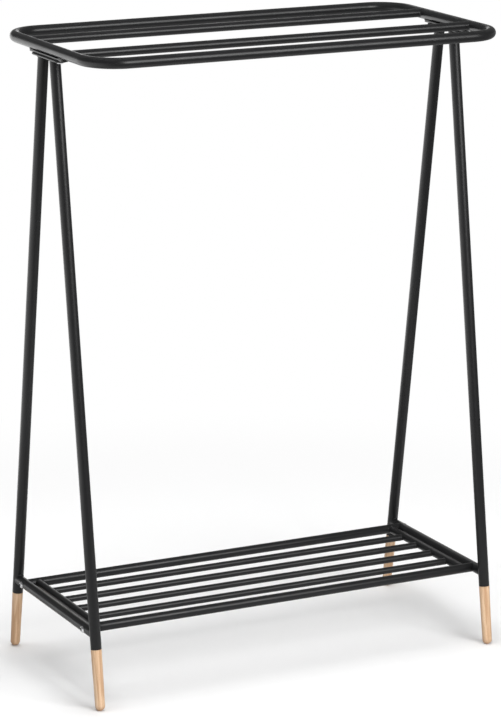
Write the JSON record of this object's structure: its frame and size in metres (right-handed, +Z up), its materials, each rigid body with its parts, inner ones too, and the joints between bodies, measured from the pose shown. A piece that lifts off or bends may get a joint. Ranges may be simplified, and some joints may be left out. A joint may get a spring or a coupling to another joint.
{
  "type": "valet stand",
  "caption": "Free-standing clothes valet of bent black tube: a top loop with inner rails on splayed A-frame legs with wooden feet, and a low slatted shelf.",
  "frame": {"origin": "on the floor, at the middle of the stand's footprint", "axes": "+X along the rails to the right, +Y from the front to the rear, +Z up"},
  "size_m": [0.6666, 0.341, 0.944],
  "materials": {
    "powder_coat": "satin charcoal-black powder coat with a very fine texture",
    "beech": "light beech, turned and sanded, clear matt lacquer",
    "black_bolt": "black-oxide steel, semi-gloss",
    "zinc_steel": "zinc-plated steel, hidden inside the shelf rails"
  },
  "bodies": {
    "root": {"top_loop": "powder_coat", "inner_rail_front": "powder_coat", "inner_rail_rear": "powder_coat", "frame_plate_left": "powder_coat", "frame_plate_right": "powder_coat", "leg_plate_left": "powder_coat", "leg_plate_right": "powder_coat", "leg_front_left": "powder_coat", "leg_rear_left": "powder_coat", "leg_front_right": "powder_coat", "leg_rear_right": "powder_coat", "crossbar_left": "powder_coat", "crossbar_right": "powder_coat", "shelf_rail_front": "powder_coat", "shelf_rail_rear": "powder_coat", "shelf_end_bar_left": "powder_coat", "shelf_end_bar_right": "powder_coat", "shelf_slat_1": "powder_coat", "shelf_slat_2": "powder_coat", "shelf_slat_3": "powder_coat", "shelf_slat_4": "powder_coat", "foot_front_left": "beech", "foot_rear_left": "beech", "foot_front_right": "beech", "foot_rear_right": "beech", "shelf_inserts": "zinc_steel", "shelf_bolts": "black_bolt", "plate_bolts": "black_bolt"}
  },
  "joints": []
}
